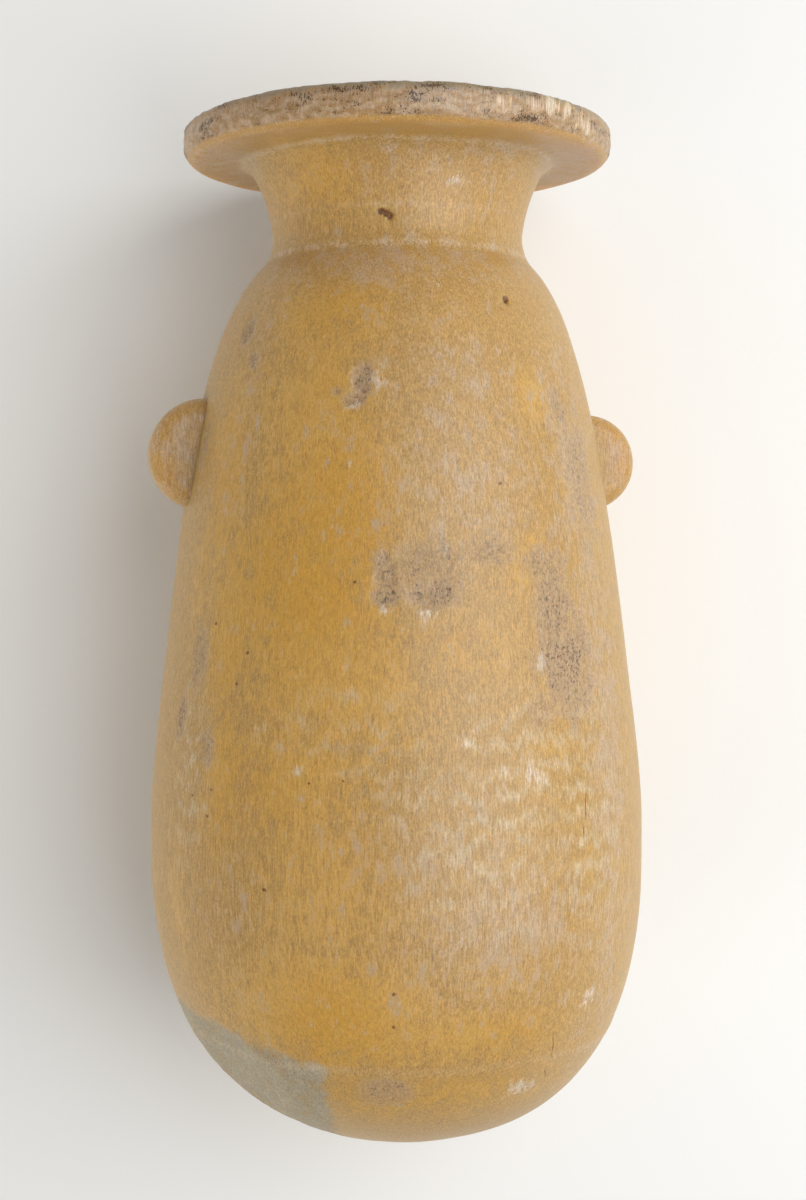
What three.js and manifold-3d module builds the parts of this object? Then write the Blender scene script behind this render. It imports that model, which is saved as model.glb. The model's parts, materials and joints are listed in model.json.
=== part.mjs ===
// A small stone perfume flask of the alabastron kind: a drop-shaped body turned and drilled from one
// block, a short flaring neck, a broad flat disc for a rim, and two small unpierced lugs.
// Its underside is round, so it can't stand. It is drawn upright on its own +Y axis with the
// underside at y = 0, and the last step lays it down on its belly and the edge of its rim.
// All lengths are in millimetres and all angles in degrees.
import * as THREE from "three";
import { mergeVertices } from "three/addons/utils/BufferGeometryUtils.js";
import Module from "manifold-3d";

// Outside of the body, from the underside up
const BELLY_RADIUS = 39.5;
const BELLY_HEIGHT = 46;
const BASE_FULLNESS = 2.4; // exponent of the underside's curve: 2 is an ellipse, more is squarer
const BASE_LEAN = 1.4; // how far the underside's middle sits off the axis
const BELLY_ROUNDING = 11; // length of upright tangent above the belly
const WAIST_RADIUS = 37;
const WAIST_HEIGHT = 77;
const WAIST_SLOPE = 6.7; // lean of the flank at the waist, from upright
const WAIST_TANGENT_BELOW = 16;
const WAIST_TANGENT_ABOVE = 31;
const SHOULDER_SLOPE = 56; // lean of the shoulder where the neck rises, from upright
const SHOULDER_TANGENT = 12;

// Neck and rim
const NECK_FOOT_HEIGHT = 140;
const NECK_FOOT_RADIUS = 19.8;
const NECK_HEIGHT = 15;
const NECK_TOP_RADIUS = 23.2;
const NECK_FLARE_START = 0.55; // share of the neck's height where its flare begins
const RIM_RADIUS = 33.7;
const RIM_THICKNESS = 5;
const RIM_UNDERCUT = 0.7; // how far the rim's underside drops from the neck to its edge
const RIM_BEVEL = 1.1; // worn bevel round the upper edge
const RIM_LOWER_EASE = 0.5; // worn lower edge

// Inside
const WALL = 8.5;
const FLOOR_THICKNESS = 12;
const MOUTH_RADIUS = 11;
const MOUTH_BEVEL = 1.2;
const BORE_LENGTH = 24; // straight drilled bore, from the rim's top down

// Lugs
const LUG_HEIGHT = 108.4; // middle of a lug, above the underside
const LUG_RADIUS = 8.5;
const LUG_SINK = 1.4; // how far a lug's centre lies inside the body's surface
const LUG_THICKNESS = 11;
const LUG_EDGE = 2; // rounding of a lug's edge
const LUG_TURN = 9.9; // turn of the pair of lugs about the axis

// Wear
const HEEL_FACET_DEPTH = 1.5; // a patch of the underside rubbed flat
const HEEL_FACET_AZIMUTH = 143; // its direction round the axis, from +X towards +Z
const HEEL_FACET_DROP = 36; // its direction below level
const REST_WEAR = 0.45; // depth of the small flats that the flask lies on

// Fineness of the faceted surface
const ROUND_SEGMENTS = 72;
const CAVITY_SEGMENTS = 48;
const BASE_STEPS = 10; // steps of the curve from the underside to the belly
const FLANK_STEPS = 6; // from the belly to the waist
const SHOULDER_STEPS = 10; // from the waist to the foot of the neck
const NECK_STEPS = 5;
const LUG_SEGMENTS = 10;
const LUG_EDGE_STEPS = 2;
const CUT_REACH = 400; // size of the blocks that cut, larger than the flask
const MERGE_DISTANCE = 1e-4; // points closer than this are one point
const SETTLING_ROUNDS = 8; // rounds it takes the lean of the lying flask to settle

const RIM_UNDERSIDE = NECK_FOOT_HEIGHT + NECK_HEIGHT;
const FLASK_HEIGHT = RIM_UNDERSIDE + RIM_THICKNESS;
const radians = THREE.MathUtils.degToRad;

const wasm = await Module();
wasm.setup();

// The curve of a body from its underside to the foot of its neck, as [radius, height] points.
// The outside and the cavity share it: the cavity's radii are smaller by the wall.
function bodyCurve(inset, floor, neckRadius, neckHeight) {
  const belly = BELLY_RADIUS - inset;
  const waist = WAIST_RADIUS - inset;
  const points = [];
  const share = 2 / BASE_FULLNESS;
  for (let i = 0; i <= BASE_STEPS; i++) {
    const turn = (i / BASE_STEPS) * (Math.PI / 2);
    points.push(
      new THREE.Vector2(
        belly * Math.sin(turn) ** share,
        BELLY_HEIGHT - (BELLY_HEIGHT - floor) * Math.cos(turn) ** share,
      ),
    );
  }
  points[0].x = 0;
  points[BASE_STEPS].y = BELLY_HEIGHT;
  const flank = radians(WAIST_SLOPE);
  const up = new THREE.Vector2(-Math.sin(flank), Math.cos(flank));
  const shoulder = radians(SHOULDER_SLOPE);
  const inward = new THREE.Vector2(-Math.sin(shoulder), Math.cos(shoulder));
  const bellyPoint = new THREE.Vector2(belly, BELLY_HEIGHT);
  const waistPoint = new THREE.Vector2(waist, WAIST_HEIGHT);
  const neckPoint = new THREE.Vector2(neckRadius, neckHeight);
  const lower = new THREE.CubicBezierCurve(
    bellyPoint,
    new THREE.Vector2(belly, BELLY_HEIGHT + BELLY_ROUNDING),
    waistPoint.clone().addScaledVector(up, -WAIST_TANGENT_BELOW),
    waistPoint,
  );
  const upper = new THREE.CubicBezierCurve(
    waistPoint,
    waistPoint.clone().addScaledVector(up, WAIST_TANGENT_ABOVE),
    neckPoint.clone().addScaledVector(inward, -SHOULDER_TANGENT),
    neckPoint,
  );
  points.push(...lower.getPoints(FLANK_STEPS).slice(1));
  points.push(...upper.getPoints(SHOULDER_STEPS).slice(1));
  return points;
}

// The outside of the whole flask, from the middle of the underside to the middle of the rim's top.
function outerProfile() {
  const points = bodyCurve(0, 0, NECK_FOOT_RADIUS, NECK_FOOT_HEIGHT);
  const neck = new THREE.QuadraticBezierCurve(
    new THREE.Vector2(NECK_FOOT_RADIUS, NECK_FOOT_HEIGHT),
    new THREE.Vector2(NECK_FOOT_RADIUS, NECK_FOOT_HEIGHT + NECK_HEIGHT * NECK_FLARE_START),
    new THREE.Vector2(NECK_TOP_RADIUS, RIM_UNDERSIDE),
  );
  points.push(...neck.getPoints(NECK_STEPS).slice(1));
  points.push(new THREE.Vector2(RIM_RADIUS - RIM_LOWER_EASE, RIM_UNDERSIDE - RIM_UNDERCUT));
  points.push(new THREE.Vector2(RIM_RADIUS, RIM_UNDERSIDE - RIM_UNDERCUT + RIM_LOWER_EASE));
  points.push(new THREE.Vector2(RIM_RADIUS, FLASK_HEIGHT - RIM_BEVEL));
  points.push(new THREE.Vector2(RIM_RADIUS - RIM_BEVEL, FLASK_HEIGHT));
  points.push(new THREE.Vector2(0, FLASK_HEIGHT));
  return points;
}

// The hollow: the body's curve smaller by the wall, a straight drilled bore, and an eased mouth.
// The bevel of the mouth runs on past the rim's top, so that it cuts cleanly through it.
function cavityProfile() {
  const boreFoot = FLASK_HEIGHT - BORE_LENGTH;
  const points = bodyCurve(WALL, FLOOR_THICKNESS, MOUTH_RADIUS, boreFoot);
  points.push(new THREE.Vector2(MOUTH_RADIUS, FLASK_HEIGHT - MOUTH_BEVEL));
  points.push(new THREE.Vector2(MOUTH_RADIUS + 2 * MOUTH_BEVEL, FLASK_HEIGHT + MOUTH_BEVEL));
  points.push(new THREE.Vector2(0, FLASK_HEIGHT + MOUTH_BEVEL));
  return points;
}

// A closed surface as a solid that can be joined and cut.
function solid(geometry) {
  const bare = geometry.index ? geometry.toNonIndexed() : geometry.clone();
  bare.deleteAttribute("normal");
  bare.deleteAttribute("uv");
  const merged = mergeVertices(bare, MERGE_DISTANCE);
  return new wasm.Manifold(
    new wasm.Mesh({
      numProp: 3,
      vertProperties: merged.attributes.position.array,
      triVerts: new Uint32Array(merged.index.array),
    }),
  );
}

// The surface of a solid, for display.
function geometryOf(manifold) {
  const { vertProperties, triVerts } = manifold.getMesh();
  const geometry = new THREE.BufferGeometry();
  geometry.setAttribute("position", new THREE.BufferAttribute(vertProperties, 3));
  geometry.setIndex(new THREE.BufferAttribute(triVerts, 1));
  geometry.computeVertexNormals();
  return geometry;
}

// Shifts the underside sideways: most at the very bottom, fading to nothing at the belly.
function leanBase(geometry) {
  const position = geometry.attributes.position;
  for (let i = 0; i < position.count; i++) {
    const below = Math.max(0, 1 - position.getY(i) / BELLY_HEIGHT);
    position.setX(i, position.getX(i) + BASE_LEAN * below ** 2);
  }
  return geometry;
}

// Radius of the outer surface at a height, read from the profile.
function radiusAt(profile, height) {
  const above = profile.findIndex((point) => point.y >= height);
  const [low, high] = [profile[above - 1], profile[above]];
  return THREE.MathUtils.mapLinear(height, low.y, high.y, low.x, high.x);
}

// One lug: a round button standing on edge, its centre a little inside the body's surface.
function makeLug(profile, turn) {
  const reachOut = radiusAt(profile, LUG_HEIGHT) - LUG_SINK;
  const button = new THREE.Shape();
  button.absarc(reachOut, LUG_HEIGHT, LUG_RADIUS - LUG_EDGE, 0, 2 * Math.PI);
  const geometry = new THREE.ExtrudeGeometry(button, {
    depth: LUG_THICKNESS - 2 * LUG_EDGE,
    bevelThickness: LUG_EDGE,
    bevelSize: LUG_EDGE,
    bevelSegments: LUG_EDGE_STEPS,
    curveSegments: LUG_SEGMENTS,
  });
  geometry.translate(0, 0, LUG_EDGE - LUG_THICKNESS / 2);
  geometry.rotateY(radians(turn));
  return solid(geometry);
}

// A block that takes away everything beyond a flat face. The face passes through the point, and
// the outward direction is its normal.
function cutterBeyond(point, outward) {
  const block = new THREE.BoxGeometry(CUT_REACH, CUT_REACH, CUT_REACH);
  block.translate(0, 0, CUT_REACH / 2);
  const turn = new THREE.Quaternion().setFromUnitVectors(new THREE.Vector3(0, 0, 1), outward);
  block.applyQuaternion(turn);
  block.translate(point.x, point.y, point.z);
  return solid(block);
}

// The point of a surface that lies furthest in a direction.
function furthest(geometry, direction) {
  const position = geometry.attributes.position;
  const best = new THREE.Vector3();
  const vertex = new THREE.Vector3();
  let reach = -Infinity;
  for (let i = 0; i < position.count; i++) {
    vertex.fromBufferAttribute(position, i);
    if (vertex.dot(direction) > reach) {
      reach = vertex.dot(direction);
      best.copy(vertex);
    }
  }
  return best;
}

// The flat patch worn on the underside, as the block that cuts it.
function heelFacetCutter(body) {
  const azimuth = radians(HEEL_FACET_AZIMUTH);
  const drop = radians(HEEL_FACET_DROP);
  const outward = new THREE.Vector3(
    Math.cos(azimuth) * Math.cos(drop),
    -Math.sin(drop),
    Math.sin(azimuth) * Math.cos(drop),
  );
  const touch = furthest(body, outward);
  return cutterBeyond(touch.addScaledVector(outward, -HEEL_FACET_DEPTH), outward);
}

// How far the axis leans from level when the flask lies on its belly and its rim, in radians.
// Each round finds where the belly and the rim are lowest at the last lean.
function restLean(profile) {
  const depth = (point, lean) => point.x * Math.cos(lean) + point.y * Math.sin(lean);
  const lowest = (points, lean) =>
    points.reduce((best, point) => (depth(point, lean) > depth(best, lean) ? point : best));
  const body = profile.filter((point) => point.y <= NECK_FOOT_HEIGHT);
  const rim = profile.filter((point) => point.y > NECK_FOOT_HEIGHT);
  let lean = 0;
  for (let round = 0; round < SETTLING_ROUNDS; round++) {
    const onBody = lowest(body, lean);
    const onRim = lowest(rim, lean);
    lean = Math.atan2(onBody.x - onRim.x, onRim.y - onBody.y);
  }
  return lean;
}

const profile = outerProfile();
const lean = restLean(profile);
const down = new THREE.Vector3(0, Math.sin(lean), -Math.cos(lean));

const outside = leanBase(new THREE.LatheGeometry(profile, ROUND_SEGMENTS));
const hollow = new THREE.LatheGeometry(cavityProfile(), CAVITY_SEGMENTS);
const floorPoint = furthest(outside, down).addScaledVector(down, -REST_WEAR);

const stone = solid(outside)
  .add(makeLug(profile, LUG_TURN))
  .add(makeLug(profile, LUG_TURN + 180))
  .subtract(heelFacetCutter(outside))
  .subtract(cutterBeyond(floorPoint, down))
  .subtract(solid(hollow));

const calcite = new THREE.MeshStandardMaterial({ color: 0xc79c5e, roughness: 0.5, metalness: 0 });
const flask = new THREE.Mesh(geometryOf(stone), calcite);
flask.name = "alabastron";

// Lay the flask down with its rim towards +Y, its flats on z = 0 and its middle over the origin.
const laid = new THREE.Group();
laid.add(flask);
laid.rotation.x = -lean;
laid.updateMatrixWorld(true);
const reach = new THREE.Box3().setFromObject(laid, true);
const middle = reach.getCenter(new THREE.Vector3());
laid.position.set(-middle.x, -middle.y, -reach.min.z);

const part = new THREE.Group();
part.add(laid);
export default part;
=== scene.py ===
# %% [markdown]
# # A stone perfume flask, lying down
# The object is a small carved flask of the kind called an alabastron. It was turned and drilled
# from one block of honey-coloured calcite, a soft stone that lets some light in.
# Its underside is round, so it lies on its belly and the edge of its rim, on a sheet of paper.
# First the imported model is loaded, because it gives the place and size that the fine mesh keeps.

# %% Load the frame
import json
import math

import bpy
import numpy as np
from mathutils import Matrix, Vector
from mathutils.bvhtree import BVHTree
from mathutils.geometry import interpolate_bezier


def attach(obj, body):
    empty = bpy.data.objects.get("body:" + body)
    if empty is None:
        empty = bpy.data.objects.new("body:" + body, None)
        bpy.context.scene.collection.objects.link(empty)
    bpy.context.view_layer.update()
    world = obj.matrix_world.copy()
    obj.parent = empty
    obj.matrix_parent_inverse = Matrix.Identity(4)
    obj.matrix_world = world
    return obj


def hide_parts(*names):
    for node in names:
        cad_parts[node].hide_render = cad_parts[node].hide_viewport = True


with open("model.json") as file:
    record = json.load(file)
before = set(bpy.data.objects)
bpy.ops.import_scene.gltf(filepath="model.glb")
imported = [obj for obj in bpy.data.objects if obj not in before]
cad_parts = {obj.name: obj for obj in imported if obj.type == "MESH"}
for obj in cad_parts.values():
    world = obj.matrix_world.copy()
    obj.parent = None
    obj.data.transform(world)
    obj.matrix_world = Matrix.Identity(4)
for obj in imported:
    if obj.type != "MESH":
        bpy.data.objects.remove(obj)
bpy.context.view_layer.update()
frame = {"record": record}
MM = 0.001

# %% [markdown]
# The flask is modelled along its own axis and then laid down. The record's mount on the rim's
# top face says where that axis points, so the fine mesh lies exactly where the solid lies.
# Coordinates along the flask are called across (x), along (y, from the underside) and up (z).

# %% Find the flask's own axes
FLASK_LENGTH = 160 * MM
mounts = {mount["name"]: mount for mount in frame["record"]["mounts"]}
rim_face = Vector(mounts["mouth_face"]["pos_m"])
along = Vector(mounts["mouth_face"]["axis"]).normalized()
across = Vector((1, 0, 0))
up = across.cross(along)
underside = Vector((0, rim_face.y, rim_face.z)) - along * FLASK_LENGTH
flask_to_row = Matrix((across, along, up)).transposed().to_4x4()
flask_to_row.translation = underside
row_to_flask = flask_to_row.inverted()
print("underside at", [round(v / MM, 2) for v in underside], "mm")

# %% [markdown]
# The camera looks down on the lying flask, as in the photograph. Its lens and distance come from
# how much the rim's two edges and the belly spread in the picture. It is made first, because
# the marks on the stone are later placed by looking through it.

# %% Camera
PHOTO_WIDTH = 806
PHOTO_HEIGHT = 1200
SENSOR = 36.0
LENS = 55.8
CAMERA_DISTANCE = 300 * MM
CAMERA_TILT = math.radians(-1.965)
CAMERA_ROLL = math.radians(-0.17)
CAMERA_ASIDE = 1.15 * MM
CAMERA_ALONG = 5.6 * MM

camera_data = bpy.data.cameras.new("camera")
camera_data.lens = LENS
camera_data.sensor_width = SENSOR
camera_data.clip_start = 10 * MM
camera = bpy.data.objects.new("camera", camera_data)
bpy.context.scene.collection.objects.link(camera)
bpy.context.scene.camera = camera
camera.matrix_world = (
    flask_to_row
    @ Matrix.Translation((0, FLASK_LENGTH / 2, 0))
    @ Matrix.Rotation(CAMERA_TILT, 4, "X")
    @ Matrix.Rotation(CAMERA_ROLL, 4, "Z")
    @ Matrix.Translation((CAMERA_ASIDE, CAMERA_ALONG, CAMERA_DISTANCE))
)
print("camera height above the paper:", round(camera.matrix_world.translation.z / MM), "mm")

# %% [markdown]
# The outline is a chain of soft curves, each a cubic with a handle at either end: the underside,
# the flank, the shoulder, the neck's flare and the worn edge of the rim. They are drawn in even
# steps, so that the finished surface has even faces that can take small dents.

# %% Sizes of the outline
BELLY_RADIUS = 39.5 * MM
BELLY_HEIGHT = 46 * MM
BASE_HANDLE = 0.664
BASE_LEAN = 1.4 * MM
NECK_LEAN = 0.45 * MM
RIM_SWELL = 0.7 * MM
BELLY_ROUNDING = 11 * MM
WAIST_RADIUS = 37 * MM
WAIST_HEIGHT = 77 * MM
WAIST_SLOPE = math.radians(6.7)
WAIST_HANDLE_BELOW = 16 * MM
WAIST_HANDLE_ABOVE = 31 * MM
SHOULDER_SLOPE = math.radians(56)
SHOULDER_HANDLE = 12 * MM
NECK_FOOT_HEIGHT = 140 * MM
NECK_FOOT_RADIUS = 19.8 * MM
NECK_HEIGHT = 15 * MM
NECK_TOP_RADIUS = 24 * MM
NECK_FLARE_START = 0.55
RIM_UNDERSIDE = NECK_FOOT_HEIGHT + NECK_HEIGHT
RIM_RADIUS = 34 * MM
RIM_UNDERCUT = 0.15 * MM
RIM_LOWER_EASE = 2.3 * MM
RIM_UPPER_EASE = 1.0 * MM
NECK_FOOT_EASE = 2.6 * MM
RIM_ROOT_EASE = 1.6 * MM
WALL = 8.5 * MM
FLOOR_THICKNESS = 12 * MM
MOUTH_RADIUS = 11 * MM
MOUTH_EASE = 1.2 * MM
BORE_LENGTH = 24 * MM
SKIN_STEP = 0.85 * MM
HOLLOW_STEP = 3 * MM

print("belly", round(2 * BELLY_RADIUS / MM), "mm across, rim", round(2 * RIM_RADIUS / MM), "mm")

# %% [markdown]
# Each stretch of the outline becomes points about one step apart, so its length is measured
# first. A worn corner is a curve too, with handles that reach a little over halfway to its tip.

# %% Curves and corners
LENGTH_SAMPLES = 64
CORNER_ROUNDING = 0.55


def curve(start, start_handle, end_handle, end, step):
    """Points about one step apart on a cubic curve, without its first point."""
    ends = [Vector((*point, 0)) for point in (start, start_handle, end_handle, end)]
    fine = interpolate_bezier(*ends, LENGTH_SAMPLES)
    length = sum((b - a).length for a, b in zip(fine, fine[1:]))
    count = max(2, round(length / step))
    return interpolate_bezier(*ends, count + 1)[1:]


def straight(start, end, step):
    """Points about one step apart on a straight run, without its first point."""
    return curve(start, start.lerp(end, 1 / 3), start.lerp(end, 2 / 3), end, step)


def corner(before, tip, after, step):
    """Points round a worn corner, from before to after."""
    first = Vector(before).lerp(Vector(tip), CORNER_ROUNDING)
    second = Vector(after).lerp(Vector(tip), CORNER_ROUNDING)
    return curve(before, first, second, after, step)


def body_curve(inset, floor, neck_radius, neck_height, step):
    """The curve from the middle of an underside to a neck, moved in by a wall."""
    belly = (BELLY_RADIUS - inset, BELLY_HEIGHT)
    waist = Vector((WAIST_RADIUS - inset, WAIST_HEIGHT))
    flank = Vector((-math.sin(WAIST_SLOPE), math.cos(WAIST_SLOPE)))
    neck = Vector((neck_radius, neck_height))
    inward = Vector((-math.sin(SHOULDER_SLOPE), math.cos(SHOULDER_SLOPE)))
    low_handle = (belly[0] * BASE_HANDLE, floor)
    high_handle = (belly[0], belly[1] - (belly[1] - floor) * BASE_HANDLE)
    points = [Vector((0, floor, 0))]
    points += curve((0, floor), low_handle, high_handle, belly, step)
    above_belly = (belly[0], belly[1] + BELLY_ROUNDING)
    points += curve(belly, above_belly, waist - flank * WAIST_HANDLE_BELOW, waist, step)
    over_waist = waist + flank * WAIST_HANDLE_ABOVE
    points += curve(waist, over_waist, neck - inward * SHOULDER_HANDLE, neck, step)
    return points


def ease_corner(points, tip, reach):
    """Rounds the corner at a tip, by a curve that starts and ends a reach away from it."""
    tip = Vector((*tip, 0))
    near = [i for i, point in enumerate(points) if (point - tip).length < reach]
    before = points[near[0] - 1]
    after = points[near[-1] + 1]
    eased = corner(before.to_2d(), tip.to_2d(), after.to_2d(), SKIN_STEP)
    return points[: near[0]] + eased + points[near[-1] + 2 :]


body_points = body_curve(0, 0, NECK_FOOT_RADIUS, NECK_FOOT_HEIGHT, SKIN_STEP)
print("the body's curve has", len(body_points), "points up to the neck's foot")

# %% [markdown]
# The outside is one chain from the middle of the underside, over the flank, the neck and the rim,
# to the middle of the rim's top. The hollow follows the same body curve, moved in by the wall,
# as it would be if it were scraped out by feel, and then goes straight up the drilled bore. The
# hollow's chain ends outside the mouth, so that it cuts right through.

# %% Points of the outside and of the hollow
def outside_points(step):
    """The outside from the middle of the underside to the middle of the rim's top."""
    points = body_curve(0, 0, NECK_FOOT_RADIUS, NECK_FOOT_HEIGHT, step)
    foot = Vector((NECK_FOOT_RADIUS, NECK_FOOT_HEIGHT))
    flare = Vector((NECK_FOOT_RADIUS, NECK_FOOT_HEIGHT + NECK_HEIGHT * NECK_FLARE_START))
    top = Vector((NECK_TOP_RADIUS, RIM_UNDERSIDE))
    points += curve(foot, foot.lerp(flare, 2 / 3), top.lerp(flare, 2 / 3), top, step)
    low = RIM_UNDERSIDE - RIM_UNDERCUT
    inner = Vector((RIM_RADIUS - RIM_LOWER_EASE, low))
    points += straight(top, inner, step)
    edge_foot = Vector((RIM_RADIUS, low + RIM_LOWER_EASE))
    points += corner(inner, (RIM_RADIUS, low), edge_foot, step / 2)
    edge_top = Vector((RIM_RADIUS, FLASK_LENGTH - RIM_UPPER_EASE))
    points += straight(edge_foot, edge_top, step)
    face_edge = Vector((RIM_RADIUS - RIM_UPPER_EASE, FLASK_LENGTH))
    points += corner(edge_top, (RIM_RADIUS, FLASK_LENGTH), face_edge, step / 2)
    middle = Vector((0, FLASK_LENGTH))
    points += straight(face_edge, middle, step)
    points = ease_corner(points, foot, NECK_FOOT_EASE)
    return ease_corner(points, top, RIM_ROOT_EASE)


def hollow_points(step):
    """The drilled and scraped hollow, up to a plug that reaches out of the mouth."""
    points = body_curve(WALL, FLOOR_THICKNESS, MOUTH_RADIUS, FLASK_LENGTH - BORE_LENGTH, step)
    points.append(Vector((MOUTH_RADIUS, FLASK_LENGTH - MOUTH_EASE, 0)))
    points.append(Vector((MOUTH_RADIUS + 2 * MOUTH_EASE, FLASK_LENGTH + MOUTH_EASE, 0)))
    points.append(Vector((0, FLASK_LENGTH + MOUTH_EASE, 0)))
    return points


outside = outside_points(SKIN_STEP)
inside = hollow_points(HOLLOW_STEP)
print("outline points:", len(outside), "outside,", len(inside), "hollow")

# %% [markdown]
# A turned thing is drawn as half an outline and spun about its axis, as it was on the lathe.
# A small plane is merged to one point, the point is pulled along the outline by extrusion, and
# the spin tool sweeps the chain round. The doubled points where the sweep meets itself, and on
# the axis, are then merged.

# %% Spin a chain of points
SKIN_SEGMENTS = 280
HOLLOW_SEGMENTS = 64
MERGE_DISTANCE = 0.002 * MM


def deselect_all():
    """Nothing may be selected when a new piece is begun."""
    if bpy.context.object and bpy.context.object.mode != "OBJECT":
        bpy.ops.object.mode_set(mode="OBJECT")
    bpy.ops.object.select_all(action="DESELECT")


def spin_chain(name, points, segments):
    """A closed turned shape about the y axis from a chain that starts and ends on it."""
    deselect_all()
    bpy.ops.mesh.primitive_plane_add(size=MM, location=(0, 0, 0))
    piece = bpy.context.object
    piece.name = piece.data.name = name
    bpy.ops.object.mode_set(mode="EDIT")
    bpy.ops.mesh.merge(type="CENTER")
    bpy.ops.transform.translate(value=points[0])
    for here, there in zip(points, points[1:]):
        bpy.ops.mesh.extrude_region_move(TRANSFORM_OT_translate={"value": there - here})
    bpy.ops.mesh.select_all(action="SELECT")
    bpy.ops.mesh.spin(steps=segments, angle=2 * math.pi, center=(0, 0, 0), axis=(0, 1, 0))
    bpy.ops.mesh.select_all(action="SELECT")
    bpy.ops.mesh.remove_doubles(threshold=MERGE_DISTANCE)
    bpy.ops.mesh.normals_make_consistent(inside=False)
    bpy.ops.object.mode_set(mode="OBJECT")
    return piece


flask = spin_chain("stone_flask", outside, SKIN_SEGMENTS)
hollow = spin_chain("hollow", inside, HOLLOW_SEGMENTS)
print("spun skin:", len(flask.data.polygons), "faces")

# %% [markdown]
# The underside's middle sits a little off the axis, because the last of it was ground by hand,
# away from the lathe. The points below the belly are slid sideways, most at the bottom. The neck
# and rim lean slightly too, and the rim is a little thicker on the side that faces up.

# %% Lean of the underside and the neck
SHOULDER_HEIGHT = 125 * MM


def read_vectors(items, name):
    """One vector of each of a mesh's items, as an array with a row for each."""
    values = np.empty(len(items) * 3)
    items.foreach_get(name, values)
    return values.reshape(-1, 3)


def coordinates(piece):
    """Where a piece's points are, as an array with a row for each."""
    return read_vectors(piece.data.vertices, "co")


def move_points(piece, points):
    """Puts a piece's points at new places."""
    piece.data.vertices.foreach_set("co", points.ravel())
    piece.data.update()


points = coordinates(flask)
below_belly = np.clip(1 - points[:, 1] / BELLY_HEIGHT, 0, 1)
points[:, 0] += BASE_LEAN * below_belly**2
above_shoulder = (points[:, 1] - SHOULDER_HEIGHT) / (NECK_FOOT_HEIGHT - SHOULDER_HEIGHT)
points[:, 0] += NECK_LEAN * np.clip(above_shoulder, 0, 1)
in_rim = np.clip((points[:, 1] - RIM_UNDERSIDE) / (FLASK_LENGTH - RIM_UNDERSIDE), 0, 1)
points[:, 1] += RIM_SWELL * in_rim * np.clip(points[:, 2] / RIM_RADIUS, 0, 1)
move_points(flask, points)
print("rim swollen by", round(RIM_SWELL / MM, 1), "mm on its upper side")

# %% [markdown]
# The two lugs are small round buttons on edge. On the real flask they are left standing when the
# body is cut back, so they are one with it. Each is a cylinder whose edge a bevel modifier
# rounds, joined to the body by a boolean. They were cut by eye, and the left one is larger.

# %% Lugs
RIGHT_LUG_RADIUS = 7.8 * MM
RIGHT_LUG_PLACE = Vector((31 * MM, 107.7 * MM, 0))
LEFT_LUG_RADIUS = 8.8 * MM
LEFT_LUG_PLACE = Vector((-30.7 * MM, 108.8 * MM, 0))
LUG_THICKNESS = 11 * MM
LUG_EDGE = 2.8 * MM
LUG_EDGE_SEGMENTS = 5
LUG_TURN = math.radians(9.9)
LUG_SEGMENTS = 64


def add_lug(name, radius, place):
    """One lug, with its middle at a place beside the flask's axis."""
    deselect_all()
    bpy.ops.mesh.primitive_cylinder_add(
        vertices=LUG_SEGMENTS, radius=radius, depth=LUG_THICKNESS, location=(0, 0, 0)
    )
    lug = bpy.context.object
    lug.name = name
    bevel = lug.modifiers.new("worn edge", "BEVEL")
    bevel.width = LUG_EDGE
    bevel.segments = LUG_EDGE_SEGMENTS
    bevel.limit_method = "ANGLE"
    bpy.ops.object.modifier_apply(modifier=bevel.name)
    lug.data.transform(Matrix.Rotation(LUG_TURN, 4, "Y") @ Matrix.Translation(place))
    return lug


def join_or_cut(piece, tool, operation):
    """Joins a tool to a piece or cuts it out of it, and takes the tool away."""
    deselect_all()
    bpy.context.view_layer.objects.active = piece
    piece.select_set(True)
    modifier = piece.modifiers.new(operation.lower(), "BOOLEAN")
    modifier.operation = operation
    modifier.solver = "MANIFOLD"
    modifier.object = tool
    bpy.ops.object.modifier_apply(modifier=modifier.name)
    bpy.data.objects.remove(tool)


join_or_cut(flask, add_lug("right_lug", RIGHT_LUG_RADIUS, RIGHT_LUG_PLACE), "UNION")
join_or_cut(flask, add_lug("left_lug", LEFT_LUG_RADIUS, LEFT_LUG_PLACE), "UNION")
join_or_cut(flask, hollow, "DIFFERENCE")
print("with lugs and hollow:", len(flask.data.polygons), "faces")

# %% [markdown]
# Now the flask is laid down. Its place goes into its mesh and its object stays at the origin,
# because the export puts every object there.

# %% Lay the flask down
flask.data.transform(flask_to_row)
flask.data.update()
flask_points = coordinates(flask)
print("lowest point:", round(float(flask_points[:, 2].min()) / MM, 2), "mm")

# %% [markdown]
# The marks that show on the stone are named by where they lie in the photograph. A ray from the
# camera through that place finds the point of the stone, so a mark sits on the surface from
# every side and not only from the front.

# %% Look through the photograph
skin = BVHTree.FromPolygons(
    [Vector(point) for point in flask_points],
    [polygon.vertices[:] for polygon in flask.data.polygons],
)


def on_stone(u, v):
    """The flask's own coordinates, in mm, of what shows at a pixel of the photograph."""
    reach = SENSOR / LENS / PHOTO_HEIGHT
    sight = Vector(((u - PHOTO_WIDTH / 2) * reach, (PHOTO_HEIGHT / 2 - v) * reach, -1))
    direction = (camera.matrix_world.to_3x3() @ sight).normalized()
    hit = skin.ray_cast(camera.matrix_world.translation, direction)[0]
    return np.array(row_to_flask @ hit) / MM


picture_middle = on_stone(PHOTO_WIDTH / 2, PHOTO_HEIGHT / 2)
print("middle of the picture is at", picture_middle.round(1), "mm on the flask")
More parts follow.
